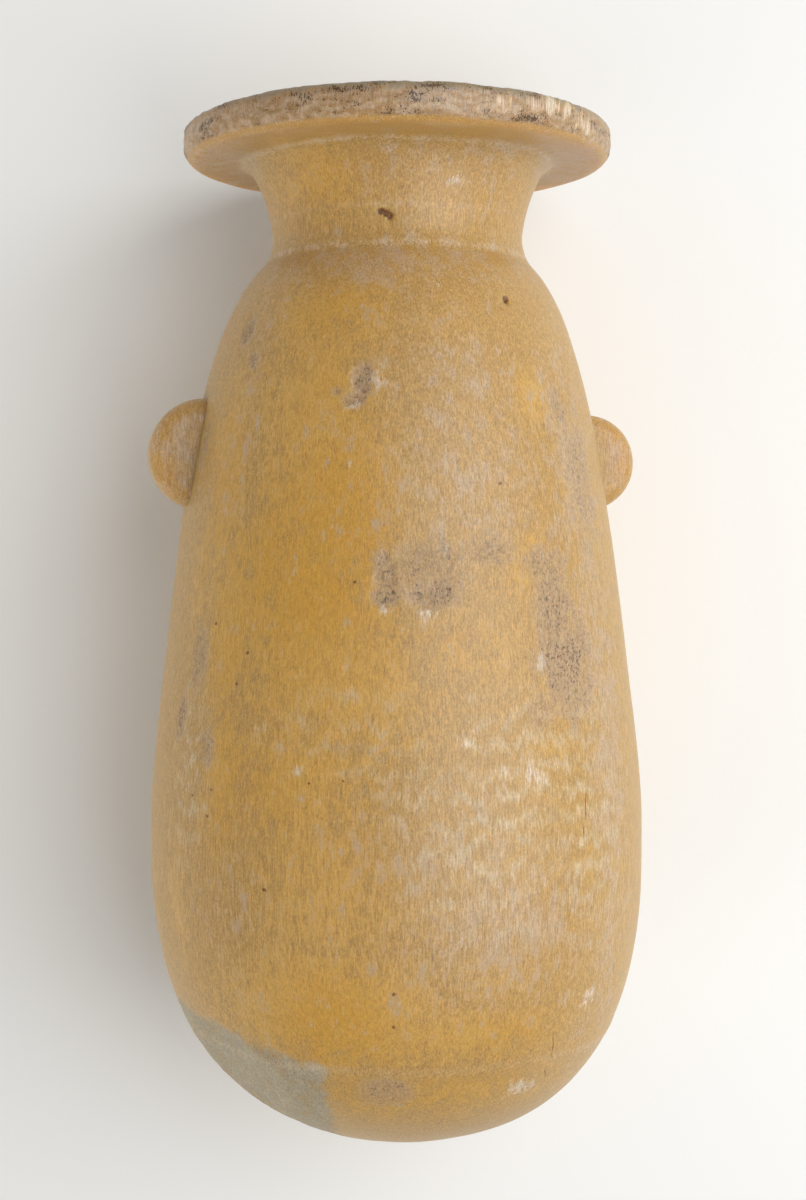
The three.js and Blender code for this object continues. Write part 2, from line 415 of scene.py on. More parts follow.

# %% [markdown]
# The wear was read off the photograph, as lists of marks. Each mark is the pixel across
# and down of its middle, half its width and half its height in pixels, and how strong it is.
# Weathered patches are places where the skin has crumbled, and scuffs are small pale knocks.

# %% Where the stone is weathered or scuffed
WEATHERED_MARKS = (
    (361, 378, 10, 17, 1.0),
    (352, 399, 11, 7, 0.8),
    (336, 391, 6, 5, 0.6),
    (386, 573, 11, 22, 0.75),
    (386, 596, 13, 9, 0.8),
    (432, 594, 25, 14, 0.95),
    (426, 564, 38, 20, 0.5),
    (489, 550, 26, 15, 0.45),
    (541, 566, 18, 17, 0.55),
    (247, 330, 10, 18, 0.9),
    (253, 357, 7, 10, 0.6),
    (560, 411, 14, 22, 0.5),
    (579, 474, 22, 70, 0.5),
    (556, 604, 24, 46, 0.8),
    (568, 661, 34, 46, 0.95),
    (541, 713, 15, 17, 0.4),
    (199, 655, 13, 30, 0.55),
    (181, 715, 9, 26, 0.7),
    (206, 745, 10, 18, 0.5),
    (386, 1092, 24, 15, 0.6),
    (205, 440, 8, 22, 0.5),
)
SCUFF_MARKS = (
    (587, 1000, 15, 15, 0.8),
    (523, 1086, 18, 9, 1.0),
    (350, 464, 4, 4, 1.0),
    (378, 376, 8, 10, 0.5),
    (355, 408, 14, 5, 0.6),
    (426, 613, 24, 5, 0.7),
    (386, 609, 12, 4, 0.6),
    (265, 678, 7, 6, 0.6),
    (300, 675, 6, 6, 0.5),
    (336, 675, 8, 5, 0.6),
    (354, 691, 5, 8, 0.7),
    (258, 728, 10, 7, 0.6),
    (316, 802, 6, 5, 0.6),
    (300, 770, 8, 6, 0.5),
    (466, 743, 9, 8, 0.9),
    (541, 663, 5, 9, 0.8),
    (536, 776, 10, 10, 0.8),
    (509, 768, 9, 8, 0.6),
    (500, 100, 34, 9, 0.6),
    (550, 106, 36, 10, 1.0),
    (586, 124, 20, 10, 0.9),
    (377, 98, 12, 7, 0.5),
    (189, 497, 8, 8, 0.6),
    (200, 425, 9, 12, 0.4),
    (438, 283, 5, 4, 0.6),
    (397, 150, 12, 6, 0.4),
    (456, 180, 12, 8, 0.4),
)
print(len(WEATHERED_MARKS), "weathered patches and", len(SCUFF_MARKS), "scuffs")

# %% [markdown]
# Under the wear the stone itself varies. It is clear and deep on the left, it has a thin pale
# film where it has weathered evenly, and its growth bands show low on the right. These zones are
# wide and soft, so a few marks that overlap are enough for each. Under the rim's two ends the pale
# film is partly painted light, for the light that reaches the rim's underside.

# %% Where the stone is clear, filmed or banded
CLEAR_MARKS = (
    (330, 310, 70, 40, 0.8),
    (440, 316, 46, 34, 0.45),
    (266, 560, 22, 150, 0.8),
    (228, 470, 26, 110, 1.0),
    (228, 620, 26, 90, 1.0),
    (222, 770, 26, 90, 0.8),
    (312, 400, 54, 60, 0.9),
    (330, 500, 58, 90, 1.0),
    (310, 600, 62, 80, 1.0),
    (330, 690, 80, 60, 0.9),
    (300, 780, 66, 70, 0.8),
    (330, 880, 80, 70, 0.7),
    (330, 1010, 100, 50, 1.0),
    (460, 1035, 84, 26, 0.8),
    (531, 397, 18, 28, 0.8),
    (531, 543, 12, 10, 0.7),
    (522, 575, 18, 16, 0.7),
    (470, 650, 60, 30, 0.45),
    (552, 743, 20, 18, 0.6),
    (591, 860, 14, 20, 0.6),
    (310, 175, 50, 36, 0.7),
    (500, 980, 60, 30, 0.5),
    (440, 1095, 110, 26, 0.6),
    (176, 900, 16, 60, 0.6),
    (205, 560, 20, 80, 0.6),
)
FILM_AND_RIM_LIGHT_MARKS = (
    (604, 720, 34, 330, 0.9),
    (575, 470, 36, 110, 0.95),
    (470, 470, 90, 80, 0.6),
    (450, 370, 60, 40, 0.6),
    (500, 150, 40, 56, 0.7),
    (400, 160, 50, 50, 0.5),
    (520, 930, 110, 70, 0.75),
    (240, 440, 24, 70, 0.45),
    (230, 900, 40, 70, 0.5),
    (420, 860, 80, 60, 0.6),
    (390, 262, 110, 26, 0.8),
    (430, 300, 60, 36, 0.5),
    (262, 330, 20, 60, 0.5),
    (180, 452, 26, 40, 0.9),
    (620, 462, 20, 40, 0.8),
    # These two marks are partly painted light: full pale film under the rim's two ends stands for the
    # light that reaches the rim's underside.
    (228, 158, 44, 16, 1.0),
    (572, 158, 44, 16, 1.0),
)
BANDED_MARKS = (
    (540, 760, 70, 55, 1.0),
    (485, 840, 66, 66, 1.0),
    (590, 820, 44, 90, 1.0),
    (390, 790, 64, 50, 0.65),
    (580, 720, 46, 40, 0.7),
    (190, 770, 34, 90, 0.75),
    (450, 900, 50, 34, 0.6),
    (340, 730, 80, 44, 0.6),
)
print(len(CLEAR_MARKS + FILM_AND_RIM_LIGHT_MARKS + BANDED_MARKS), "marks for the zones of the stone")

# %% [markdown]
# The smallest marks are pits, pinholes and hairline cracks, which need no strength. A pit is also
# cut into the surface. The others are about as narrow as the faces, so they are only coloured.

# %% Where the small holes are
PITS = (
    (381, 211, 4.6, 3),
    (386, 213, 4.2, 3.4),
    (390, 216, 3.2, 3.6),
    (506, 300, 3, 4.2),
)
PINHOLES = (
    (216, 624, 1.6, 1.6),
    (247, 652, 1.8, 1.6),
    (236, 684, 1.6, 1.6),
    (192, 795, 1.4, 1.4),
    (211, 790, 1.4, 1.4),
    (207, 816, 2.0, 1.6),
    (309, 784, 1.4, 1.2),
    (343, 781, 1.4, 1.4),
    (264, 890, 2.4, 1.6),
    (355, 582, 1.8, 1.8),
    (500, 483, 1.6, 1.6),
    (394, 994, 2.4, 1.6),
    (394, 1028, 1.8, 1.8),
)
HAIRLINES = (
    (586, 806, 0.5, 15),
    (584, 832, 0.6, 6),
    (553, 1046, 0.4, 14),
    (545, 1074, 0.4, 7),
)
print(len(PITS), "pit marks,", len(PINHOLES), "pinholes and", len(HAIRLINES), "hairlines")

# %% [markdown]
# A mark is an ellipsoid round the point of the stone that shows at its pixel. How near a place is
# to it falls off evenly, so that one number can make a soft zone or a sharp patch. A pixel of
# the photograph spans about 0.15 mm of the stone.

# %% Nearness to a mark
PIXEL = 0.151


def in_flask_mm(points):
    """Points of the shared frame in the flask's own coordinates, in mm."""
    turned = points @ np.array(row_to_flask.to_3x3()).T
    return (turned + np.array(row_to_flask.translation)) / MM


def nearness(places, mark):
    """1 at the middle of a mark, 0.5 at its edge and 0 at twice its size."""
    centre = on_stone(mark[0], mark[1])
    size = np.array((mark[2], mark[3], mark[2])) * PIXEL
    distance = np.linalg.norm((places - centre) / size, axis=1)
    return np.clip(1 - distance / 2, 0, 1)


def closest(places, marks):
    """At each place, the nearness to the closest mark."""
    return np.max([nearness(places, mark) for mark in marks], axis=0)


def strongest(places, marks):
    """At each place, the nearness to the closest mark, and how strong that mark is."""
    best = np.zeros(len(places))
    strength = np.zeros(len(places))
    for mark in marks:
        near = nearness(places, mark)
        closer = near > best
        best[closer] = near[closer]
        strength[closer] = mark[4]
    return best, strength


print("the first patch is", round(2 * WEATHERED_MARKS[0][3] * PIXEL, 1), "mm long")

# %% [markdown]
# Small marks need small faces. Before any wear is cut, the faces around the pits, the sharpest
# weathered patches and the rim's edge are subdivided, and the rest of the skin stays as it is.

# %% Finer faces where small marks go
SHARPEST_COUNT = 10
PATCH_NEARNESS = 0.4
PIT_NEARNESS = 0.15
RIM_EDGE_FOOT = 153.9
RIM_EDGE_RADIUS = 31.5
RIM_LOWEST_VISIBLE = -20


def refine(piece, wanted, cuts):
    """Subdivides the faces of a piece that a rule wants, given their centres in flask mm."""
    chosen = wanted(in_flask_mm(read_vectors(piece.data.polygons, "center")))
    deselect_all()
    bpy.context.view_layer.objects.active = piece
    bpy.ops.object.mode_set(mode="EDIT")
    bpy.ops.mesh.select_mode(type="FACE")
    bpy.ops.mesh.select_all(action="DESELECT")
    bpy.ops.object.mode_set(mode="OBJECT")
    piece.data.polygons.foreach_set("select", chosen)
    bpy.ops.object.mode_set(mode="EDIT")
    bpy.ops.mesh.subdivide(number_cuts=cuts)
    bpy.ops.object.mode_set(mode="OBJECT")


def on_rim_edge(centres):
    """True for the part of the rim's edge that faces the camera."""
    outer = np.hypot(centres[:, 0], centres[:, 2]) > RIM_EDGE_RADIUS
    return (centres[:, 1] > RIM_EDGE_FOOT) & outer & (centres[:, 2] > RIM_LOWEST_VISIBLE)


sharpest = WEATHERED_MARKS[:SHARPEST_COUNT] + PITS
refine(flask, lambda centres: closest(centres, sharpest) > PATCH_NEARNESS, 1)
refine(flask, lambda centres: closest(centres, PITS) > PIT_NEARNESS, 2)
refine(flask, on_rim_edge, 1)
print("with finer patches:", len(flask.data.polygons), "faces")

# %% [markdown]
# The wear is worked out once, as numbers from 0 to 1 at each point of the mesh. The same
# numbers sink the surface and colour the stone, so a grey patch is also a shallow hollow.
# A little noise makes every edge ragged, as crumbled stone is.

# %% Wear at each point
from mathutils import noise

NOISE_SEED = 7
RAGGED_MIDDLE = 0.16
RAGGED_FINE = 0.10

noise.seed_set(NOISE_SEED)
places = in_flask_mm(coordinates(flask))


def smooth_step(values, low, high):
    """0 under low, 1 over high and a soft rise between."""
    share = np.clip((values - low) / (high - low), 0, 1)
    return share * share * (3 - 2 * share)


def grain_at(places, size, stretch=1.0):
    """Soft noise from -1 to 1 with lumps of that size in mm, longer along the flask."""
    scale = np.array((1 / size, 1 / (size * stretch), 1 / size))
    return np.array([noise.noise(Vector(place)) for place in places * scale])


coarse_grain = grain_at(places, size=9.0)
middle_grain = grain_at(places, size=3.0, stretch=1.6)
fine_grain = grain_at(places, size=1.1)
ragged = RAGGED_MIDDLE * middle_grain + RAGGED_FINE * fine_grain
weathered, weathered_strength = strongest(places, WEATHERED_MARKS)
crumbled = smooth_step(weathered + ragged, low=0.4, high=0.7) * weathered_strength
scuff, scuff_strength = strongest(places, SCUFF_MARKS)
clear, clear_strength = strongest(places, CLEAR_MARKS)
film_and_rim_light, film_and_rim_light_strength = strongest(places, FILM_AND_RIM_LIGHT_MARKS)
banding, banding_strength = strongest(places, BANDED_MARKS)
pit = smooth_step(closest(places, PITS), low=0.35, high=0.7)
print("crumbled over", round(100 * float((crumbled > 0.3).mean()), 1), "% of the points")

# %% [markdown]
# The photograph can't show the half that lies on the paper, the hollow or the rim's top. The
# block of stone is the same there, so these get the same kinds of zones, placed by coarse noise.

# %% Zones on the hidden half
ZONE_SIZE = 16.0
ZONE_STRETCH = 1.8
ZONE_SHIFT = 40
BAND_ZONE_SHIFT = -70
HIDDEN_BELOW = -14
SEEN_ABOVE = 2
TOP_FACE_FROM = FLASK_LENGTH / MM - 1
HIDDEN_FILM = 0.7
HIDDEN_BANDING = 0.8

seen = smooth_step(places[:, 2], HIDDEN_BELOW, SEEN_ABOVE) * (places[:, 1] < TOP_FACE_FROM)
hidden = 1 - seen
zone_grain = grain_at(places + ZONE_SHIFT, ZONE_SIZE, ZONE_STRETCH)
band_grain = grain_at(places + BAND_ZONE_SHIFT, ZONE_SIZE, ZONE_STRETCH)
hidden_clear = smooth_step(zone_grain, low=0.0, high=0.35)
hidden_film = smooth_step(-zone_grain, low=-0.1, high=0.3) * HIDDEN_FILM
hidden_bands = smooth_step(band_grain, low=0.05, high=0.3) * HIDDEN_BANDING
clear_zone = clear * clear_strength + hidden * hidden_clear
film_and_rim_light_zone = film_and_rim_light * film_and_rim_light_strength + hidden * hidden_film
band_zone = banding * banding_strength + hidden * hidden_bands
print("hidden share of the points:", round(100 * float(hidden.mean())), "%")

# %% [markdown]
# A patch low on the left was rubbed flat and has gone grey. Its upper border runs down to the
# right across the heel, and it ends at a short steep border before the middle of the underside.
# It is found by asking on which side of these border lines each point lies. Round the hidden side
# it ends where the rubbed facet would, at a set depth below the point that sticks out furthest.

# %% The grey heel
HEEL_BORDER_START = (184, 1001)
HEEL_BORDER_MIDDLE = (250, 1040)
HEEL_BORDER_END = (345, 1068)
HEEL_SIDE_TOP = (327, 1072)
HEEL_SIDE_FOOT = (338, 1128)
HEEL_FACET_DIRECTION = np.array((-0.6461, -0.5878, 0.4869))
HEEL_CAP_DEPTH = 7.0
HEEL_CAP_SLOPE = 1.7
HEEL_BORDER_SWAY = 1.1
HEEL_BORDER_FRAY = 0.5


def beyond(places, start, end):
    """How far places lie past a line through two pixels, to its right going from start to end."""
    a = on_stone(*start)[:2]
    b = on_stone(*end)[:2]
    direction = (b - a) / np.linalg.norm(b - a)
    offset = places[:, :2] - a
    return direction[1] * offset[:, 0] - direction[0] * offset[:, 1]


upper_left = beyond(places, HEEL_BORDER_START, HEEL_BORDER_MIDDLE)
upper_right = beyond(places, HEEL_BORDER_MIDDLE, HEEL_BORDER_END)
side = beyond(places, HEEL_SIDE_TOP, HEEL_SIDE_FOOT)
heel_reach = places @ HEEL_FACET_DIRECTION
in_cap = (heel_reach - heel_reach.max() + HEEL_CAP_DEPTH) * HEEL_CAP_SLOPE
heel_depth = np.minimum(np.minimum(np.maximum(upper_left, upper_right), side), in_cap)
heel_depth += HEEL_BORDER_SWAY * middle_grain + HEEL_BORDER_FRAY * fine_grain
heel = smooth_step(heel_depth, low=-1.2, high=2.2)
print("grey heel over", round(100 * float((heel > 0.5).mean()), 1), "% of the points")

# %% [markdown]
# The surface is now worn. Grinding by hand left it a little uneven all over, the patches are
# crumbled away by a few tenths of a millimetre, the pits are deeper, and the rim's edge is
# bruised. Every point moves along its own normal, so the noise can't fold the mesh.

# %% Cut the wear into the surface
GRINDING_DEPTH = 0.16
GRINDING_FINE_DEPTH = 0.05
CRUMBLED_DEPTH = 0.32
CRUMBLED_ROUGHNESS = 0.14
PIT_DEPTH = 0.6
RIM_WEAR = 0.18
RIM_EVEN_WEAR = 0.35
RIM_BRUISES = 0.9
RIM_CHIPS = 0.7
HEEL_ROUGHNESS = 0.10
TURNED_LINE_PIXEL = (400, 1074)
TURNED_LINE_WIDTH = 1.2
TURNED_LINE_HEIGHT = 0.12
TURNED_LINE_SWAY = 0.35
TURNED_LINE_LEAST_RADIUS = 20

radius = np.hypot(places[:, 0], places[:, 2])
near_top = smooth_step(places[:, 1], low=155.0, high=156.2)
rim_edge = near_top * smooth_step(radius, low=31.8, high=33.0)
rim_bruises = RIM_EVEN_WEAR + RIM_BRUISES * middle_grain + RIM_CHIPS * fine_grain
turned_line_along = on_stone(*TURNED_LINE_PIXEL)[1]
line_sway = TURNED_LINE_SWAY * coarse_grain
from_line = (places[:, 1] - turned_line_along - line_sway) / TURNED_LINE_WIDTH
turned_line = np.exp(-(from_line**2)) * (radius > TURNED_LINE_LEAST_RADIUS)
sunk = GRINDING_DEPTH * (0.5 + 0.5 * coarse_grain)
sunk += GRINDING_FINE_DEPTH * (0.5 + 0.5 * middle_grain)
sunk += crumbled * (CRUMBLED_DEPTH + CRUMBLED_ROUGHNESS * fine_grain)
sunk += pit * PIT_DEPTH
sunk += rim_edge * RIM_WEAR * np.clip(rim_bruises, 0, None)
sunk += heel * HEEL_ROUGHNESS * (1 + fine_grain)
sunk -= TURNED_LINE_HEIGHT * turned_line
outward = read_vectors(flask.data.vertex_normals, "vector")
worn = coordinates(flask) - outward * (sunk * MM)[:, None]
print("turned line", round(float(turned_line_along), 1), "mm from the underside")

# %% [markdown]
# Two flats end the shaping. The heel was rubbed to a facet, so what stands out past its plane is
# pressed back almost to it. Where the belly and the rim touch the paper, nothing goes below it.

# %% Flats
HEEL_FACET_DEPTH = 1.5
HEEL_FACET_PRESS = 0.97

facet = np.array(flask_to_row.to_3x3()) @ HEEL_FACET_DIRECTION
reach = worn @ facet
facet_level = reach.max() - HEEL_FACET_DEPTH * MM
excess = np.clip(reach - facet_level, 0, None)
worn -= excess[:, None] * facet * HEEL_FACET_PRESS
worn[:, 2] = np.maximum(worn[:, 2], 0)
move_points(flask, worn)
print("facet takes away", round(float(excess.max()) / MM, 2), "mm at most")
print("points on the paper:", int((worn[:, 2] == 0).sum()))

# %% [markdown]
# The material reads the wear from named numbers kept at each point of the mesh. Unlike a painted
# picture, they need no unwrapping and they stay with the surface.

# %% Keep the wear for the material
SMOOTH_BELOW = math.radians(50)


def store(piece, name, values):
    """Keeps a number for each point under a name that a material can read."""
    attribute = piece.data.attributes.new(name, "FLOAT", "POINT")
    attribute.data.foreach_set("value", values.astype(np.float32))


store(flask, "weathered", weathered)
store(flask, "weathered_strength", weathered_strength)
store(flask, "scuff", scuff * scuff_strength)
store(flask, "clear_stone", clear_zone)
store(flask, "film_and_rim_light", film_and_rim_light_zone)
store(flask, "banding", band_zone)
store(flask, "heel", heel)
store(flask, "rim_edge", rim_edge)
deselect_all()
bpy.context.view_layer.objects.active = flask
flask.select_set(True)
bpy.ops.object.shade_smooth_by_angle(angle=SMOOTH_BELOW)
flask.data.calc_loop_triangles()
print("finished mesh:", len(flask.data.loop_triangles), "triangles")

# %% [markdown]
# Calcite of this kind is a translucent honey-coloured stone. Its pattern runs through the block,
# so it is made from noise in the stone's own millimetres, measured along the flask, and not from
# a picture. One helper adds a node. A second makes noise with lumps of a real size, and a third
# lets a pattern break up the border of a zone that was worked out on the mesh. A node's inputs
# are given by name, or by number where names repeat: a Mix node's share is 0, the colours that
# it mixes are 6 and 7, and the mixed colour is its output 2.

# %% Helpers for materials
def colour(code):
    """A linear colour from an sRGB hex code."""
    parts = [int(code[i : i + 2], 16) / 255 for i in (1, 3, 5)]
    return (*[p / 12.92 if p <= 0.04045 else ((p + 0.055) / 1.055) ** 2.4 for p in parts], 1)


def add(tree, kind, inputs=(), output=0, **settings):
    """Adds a node with its settings, fills its inputs with values or links, gives one output."""
    node = tree.nodes.new(kind)
    for name, value in settings.items():
        setattr(node, name, value)
    for name, value in dict(inputs).items():
        if isinstance(value, bpy.types.NodeSocket):
            tree.links.new(value, node.inputs[name])
        else:
            node.inputs[name].default_value = value
    return node.outputs[output] if node.outputs else node


def new_material(name):
    """An empty node material."""
    material = bpy.data.materials.new(name)
    material.use_nodes = True
    material.node_tree.nodes.clear()
    return material


calcite = new_material("banded_calcite")
stone = calcite.node_tree
place = add(stone, "ShaderNodeTexCoord", output="Object")
lying = {
    "Vector": place,
    "Location": flask_to_row.translation,
    "Rotation": flask_to_row.to_euler(),
    "Scale": (MM, MM, MM),
}
flask_mm = add(stone, "ShaderNodeMapping", lying, vector_type="TEXTURE")
along_mm = add(stone, "ShaderNodeSeparateXYZ", {0: flask_mm}, "Y")


def grain(size, detail=2.0, roughness=0.5, offset=(0, 0, 0)):
    """A pattern of lumps with a size in mm: across, along and up."""
    scales = [1 / length for length in size]
    placing = {"Vector": flask_mm, "Location": offset, "Scale": scales}
    scaled = add(stone, "ShaderNodeMapping", placing)
    lumps = {"Vector": scaled, "Scale": 1.0, "Detail": detail, "Roughness": roughness}
    return add(stone, "ShaderNodeTexNoise", lumps)


def zone(name, pattern, breaking, low, high):
    """How much of a zone of the mesh shows, after a pattern has broken up its border."""
    painted = add(stone, "ShaderNodeAttribute", output="Fac", attribute_name=name)
    terms = {0: pattern, 1: breaking, 2: painted}
    broken = add(stone, "ShaderNodeMath", terms, operation="MULTIPLY_ADD")
    ends = {"Value": broken, "From Min": low + breaking / 2, "From Max": high + breaking / 2}
    return add(stone, "ShaderNodeMapRange", ends, interpolation_type="SMOOTHSTEP")


print("the stone's pattern runs along", flask_to_row.to_3x3().col[1].to_tuple(3))

# %% [markdown]
# Fine crystal fibres, a quarter of a millimetre wide, run along the flask. Longer strands and
# soft clouds vary them, and a fine speckle lies over all. These few patterns, each at its real
# size, are mixed again and again below, so every layer of the stone follows the same fibres.

# %% Patterns in the stone
FIBRE_SHARE = 0.22
STREAK_SHARE = 0.28
CLOUD_SHARE = 0.5

fibre = grain((0.24, 2.1, 0.24), detail=2.0, roughness=0.6)
strand = grain((0.4, 8, 0.4), detail=1.0, offset=(1, 6, 3))
streak = grain((0.9, 4.5, 0.9), detail=1.0, offset=(3, 1, 7))
cloud = grain((2.6, 3.4, 2.6), detail=3.0, roughness=0.6, offset=(11, 5, 2))
broad = grain((18, 26, 18), detail=0.0, offset=(2, 9, 4))
speckle = grain((0.2, 0.42, 0.2), detail=1.0, roughness=0.7, offset=(5, 5, 5))
mottle = 0.0
for pattern, share in ((fibre, FIBRE_SHARE), (streak, STREAK_SHARE), (cloud, CLOUD_SHARE)):
    terms = {0: pattern, 1: share, 2: mottle}
    mottle = add(stone, "ShaderNodeMath", terms, operation="MULTIPLY_ADD")
print("finest speckle about 0.2 mm, widest cloud about 20 mm")

# %% [markdown]
# Where the stone is clear, light goes deep and it looks dark honey. Where it is full of fibres
# it is a lighter ochre, and a thin weathered film makes it paler and pinker still. Under the rim's
# ends that pale film is partly painted light, for the light on the rim's underside. The zones
# come from the mesh, and the mottled pattern frays their borders along the fibres. Each colour is
# laid over the ones before it by its share.

# %% Colours of sound stone
HONEY_DEEP = colour("#C89A44")
HONEY = colour("#CDA45C")
OCHRE = colour("#BB9659")
BEIGE = colour("#BCA07D")
BROAD_SHARE = 0.8
FILM_AND_RIM_LIGHT_COVER = 0.9

terms = {0: broad, 1: BROAD_SHARE, 2: mottle}
depth = add(stone, "ShaderNodeMath", terms, operation="MULTIPLY_ADD")
ends = {"Value": depth, "From Min": 0.65, "From Max": 1.15}
light_honey = add(stone, "ShaderNodeMapRange", ends, interpolation_type="SMOOTHSTEP")
clear_here = zone("clear_stone", mottle, breaking=3.0, low=0.1, high=0.75)
cloudy = add(stone, "ShaderNodeMath", {0: 1.0, 1: clear_here}, operation="SUBTRACT")
# Under the rim's ends this pale film is partly painted light on the rim's underside.
film_and_rim_light_here = zone("film_and_rim_light", mottle, breaking=4.6, low=0.25, high=0.95)
film_and_rim_light_share = add(stone, "ShaderNodeMath", {0: film_and_rim_light_here, 1: FILM_AND_RIM_LIGHT_COVER}, operation="MULTIPLY")
body = HONEY_DEEP
for share, tint in ((light_honey, HONEY), (cloudy, OCHRE), (film_and_rim_light_share, BEIGE)):
    body = add(stone, "ShaderNodeMix", {0: share, 6: body, 7: tint}, 2, data_type="RGBA")
print("sound stone has", len(stone.nodes), "nodes so far")

# %% [markdown]
# Milky growth bands cross the fibres, about four millimetres apart. On the real stone they are
# the layers it grew in. A sine along the flask gives the layers, soft noise bends them into
# zigzags, each strand shifts its own piece a little, and patches of noise break them into strokes.

# %% Milky growth bands
BAND_SPACING = 3.7
BAND_SWAY = 7.0
BAND_JITTER = 3.6
STROKE_BREAKING = 5.0
FIBRE_BREAKING = 2.0
MILK = colour("#C6AF89")

sway = grain((3.4, 16, 3.4), detail=1.0, offset=(7, 2, 5))
bent = add(stone, "ShaderNodeMath", {0: sway, 1: BAND_SWAY, 2: along_mm}, operation="MULTIPLY_ADD")
bent = add(stone, "ShaderNodeMath", {0: strand, 1: BAND_JITTER, 2: bent}, operation="MULTIPLY_ADD")
turns = add(stone, "ShaderNodeMath", {0: bent, 1: 2 * math.pi / BAND_SPACING}, operation="MULTIPLY")
wave = add(stone, "ShaderNodeMath", {0: turns}, operation="SINE")
strokes = grain((1.7, 2.4, 1.7), detail=2.0, roughness=0.6, offset=(9, 3, 8))
broken_wave = wave
for pattern, breaking in ((strokes, STROKE_BREAKING), (fibre, FIBRE_BREAKING)):
    terms = {0: pattern, 1: breaking, 2: broken_wave}
    broken_wave = add(stone, "ShaderNodeMath", terms, operation="MULTIPLY_ADD")
ends = {"Value": broken_wave, "From Min": 2.8, "From Max": 5.7}
milky = add(stone, "ShaderNodeMapRange", ends, interpolation_type="SMOOTHSTEP")
banded = zone("banding", cloud, breaking=0.8, low=0.15, high=0.75)
milky_here = add(stone, "ShaderNodeMath", {0: milky, 1: banded}, operation="MULTIPLY")
body = add(stone, "ShaderNodeMix", {0: milky_here, 6: body, 7: MILK}, 2, data_type="RGBA")
print("growth bands", BAND_SPACING, "mm apart")

# %% [markdown]
# Weathered patches have lost their polish: they are greyer, with dark dirt in the pores, and a
# pale margin round them. The heel is grey and mottled. Scuffs, where the skin has been knocked
# off, are the palest of all. They are laid over the sound stone in that order.

# %% Weathered places
GREY = colour("#AC9172")
DIRT = colour("#624B36")
HEEL_GREY = colour("#988C74")
HEEL_LIGHT = colour("#B0A288")
SCUFFED = colour("#D6C6B0")
MARGIN_COVER = 0.7

margin = zone("weathered", mottle, breaking=1.4, low=0.25, high=0.55)
strength = add(stone, "ShaderNodeAttribute", output="Fac", attribute_name="weathered_strength")
margin_share = add(stone, "ShaderNodeMath", {0: margin, 1: strength}, operation="MULTIPLY")
margin_share = add(stone, "ShaderNodeMath", {0: margin_share, 1: MARGIN_COVER}, operation="MULTIPLY")
patch = zone("weathered", mottle, breaking=2.6, low=0.3, high=0.85)
patch_share = add(stone, "ShaderNodeMath", {0: patch, 1: strength}, operation="MULTIPLY")
grit = grain((0.4, 0.55, 0.4), detail=2.0, roughness=0.7, offset=(8, 4, 6))
ends = {"Value": grit, "From Min": 0.36, "From Max": 0.54, "To Min": 0.35, "To Max": 1.0}
crumbs = add(stone, "ShaderNodeMapRange", ends)
crumb_share = add(stone, "ShaderNodeMath", {0: patch_share, 1: crumbs}, operation="MULTIPLY")
pores = {"Value": grit, "From Min": 0.52, "From Max": 0.66}
dirty = add(stone, "ShaderNodeMapRange", pores, interpolation_type="SMOOTHSTEP")
dirt_share = add(stone, "ShaderNodeMath", {0: dirty, 1: patch_share}, operation="MULTIPLY")
heel_share = zone("heel", mottle, breaking=3.0, low=0.2, high=1.05)
ends = {"Value": mottle, "From Min": 0.36, "From Max": 0.64}
heel_mottle = add(stone, "ShaderNodeMapRange", ends)
heel_colour = add(
    stone, "ShaderNodeMix", {0: heel_mottle, 6: HEEL_GREY, 7: HEEL_LIGHT}, 2, data_type="RGBA"
)
scuff_here = zone("scuff", mottle, breaking=3.0, low=0.3, high=1.0)
layers = (
    (margin_share, BEIGE),
    (crumb_share, GREY),
    (dirt_share, DIRT),
    (heel_share, heel_colour),
    (scuff_here, SCUFFED),
)
surface = body
for share, tint in layers:
    surface = add(stone, "ShaderNodeMix", {0: share, 6: surface, 7: tint}, 2, data_type="RGBA")
print("with weathering", len(stone.nodes), "nodes")

# %% [markdown]
# The rim's edge is bruised all round. It is mottled grey and tan, and it holds dark specks of old
# dirt in clusters. Along its rounded upper side it is painted greener and darker: a painted
# reflection of the grey surround in that rounded edge.

# %% The bruised rim
RIM_TAN = colour("#A6875C")
RIM_PALE = colour("#B7A083")
# Painted reflection: the grey-green that the rounded upper edge of the rim mirrors.
RIM_REFLECTION_GREY = colour("#8C826B")
SPECK_DARK = colour("#503A24")
REFLECTION_BORDER_FRAY = 3.0
SPECK_CLUSTERING = 0.9
SPECKS_OFF_CHIPS = -0.5

chips = grain((1.8, 1.0, 1.8), detail=3.0, roughness=0.65, offset=(4, 8, 1))
ends = {"Value": chips, "From Min": 0.38, "From Max": 0.62}
chip_share = add(stone, "ShaderNodeMapRange", ends, interpolation_type="SMOOTHSTEP")
# The painted reflection covers the rounded upper edge of the rim, and the chips fray its border.
terms = {0: chips, 1: REFLECTION_BORDER_FRAY, 2: along_mm}
lifted = add(stone, "ShaderNodeMath", terms, operation="MULTIPLY_ADD")
ends = {"Value": lifted, "From Min": 160.2, "From Max": 161.8}
upper_edge_reflection = add(stone, "ShaderNodeMapRange", ends, interpolation_type="SMOOTHSTEP")
clusters = grain((5, 1.6, 5), detail=1.0, offset=(2, 7, 9))
crowd = speckle
for pattern, share in ((clusters, SPECK_CLUSTERING), (chips, SPECKS_OFF_CHIPS)):
    terms = {0: pattern, 1: share, 2: crowd}
    crowd = add(stone, "ShaderNodeMath", terms, operation="MULTIPLY_ADD")
ends = {"Value": crowd, "From Min": 0.81, "From Max": 0.93}
specks = add(stone, "ShaderNodeMapRange", ends, interpolation_type="SMOOTHSTEP")
rim_colour = RIM_TAN
